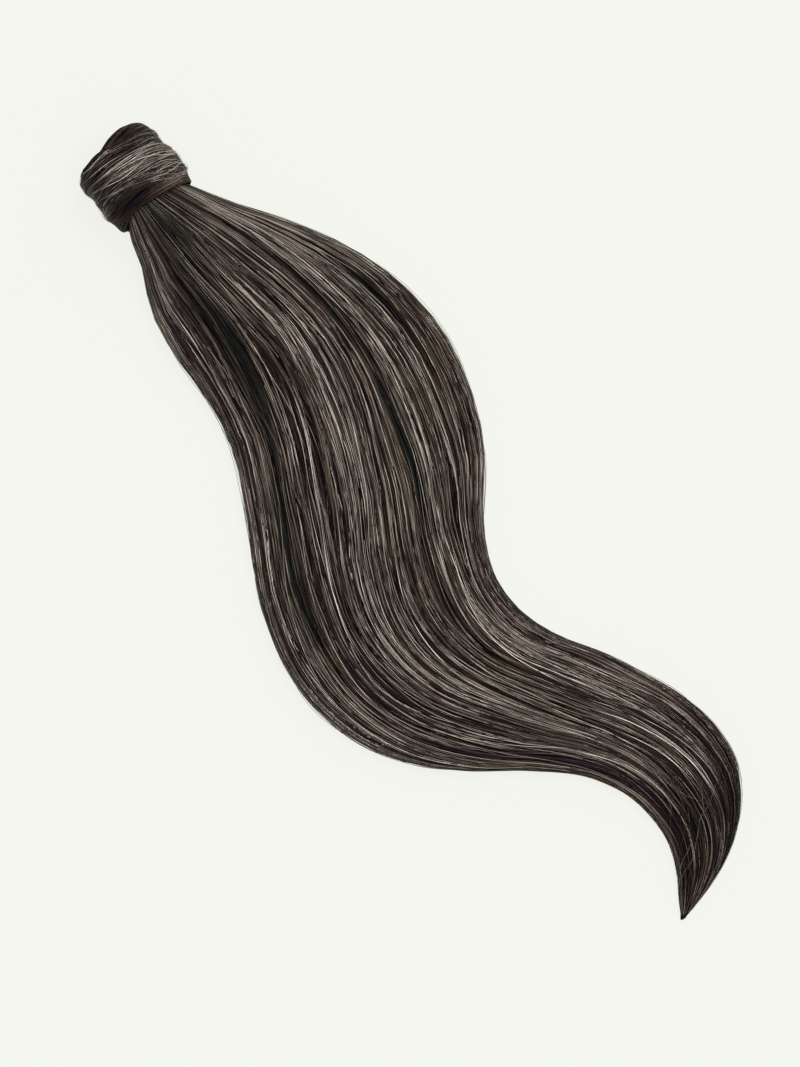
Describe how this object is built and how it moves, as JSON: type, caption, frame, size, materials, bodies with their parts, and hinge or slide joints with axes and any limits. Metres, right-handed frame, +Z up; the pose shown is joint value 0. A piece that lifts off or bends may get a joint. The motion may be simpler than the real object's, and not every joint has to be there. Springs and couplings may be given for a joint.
{
  "type": "ponytail hairpiece",
  "caption": "Long straight ponytail hairpiece lying in an S: a full tail on a short hollow band, hidden by a lock wound round it.",
  "frame": {"origin": "middle of the footprint, on the table that the hairpiece lies on", "axes": "+Y along the band's axis, out of the mouth of the wound head; +X to the right of it seen from above; +Z up from the table"},
  "size_m": [0.1846, 0.4888, 0.039],
  "materials": {
    "hair": "glossy straight human hair, near-black brown with fine grey strands",
    "sewn_band": "matte black stitched cloth",
    "comb_plastic": "dark brown moulded plastic, slightly worn"
  },
  "bodies": {
    "root": {"hair_tail": "hair", "rim_turn": "hair", "main_turn": "hair", "neck_turn": "hair", "sewn_band": "sewn_band", "comb": "comb_plastic"}
  },
  "joints": []
}
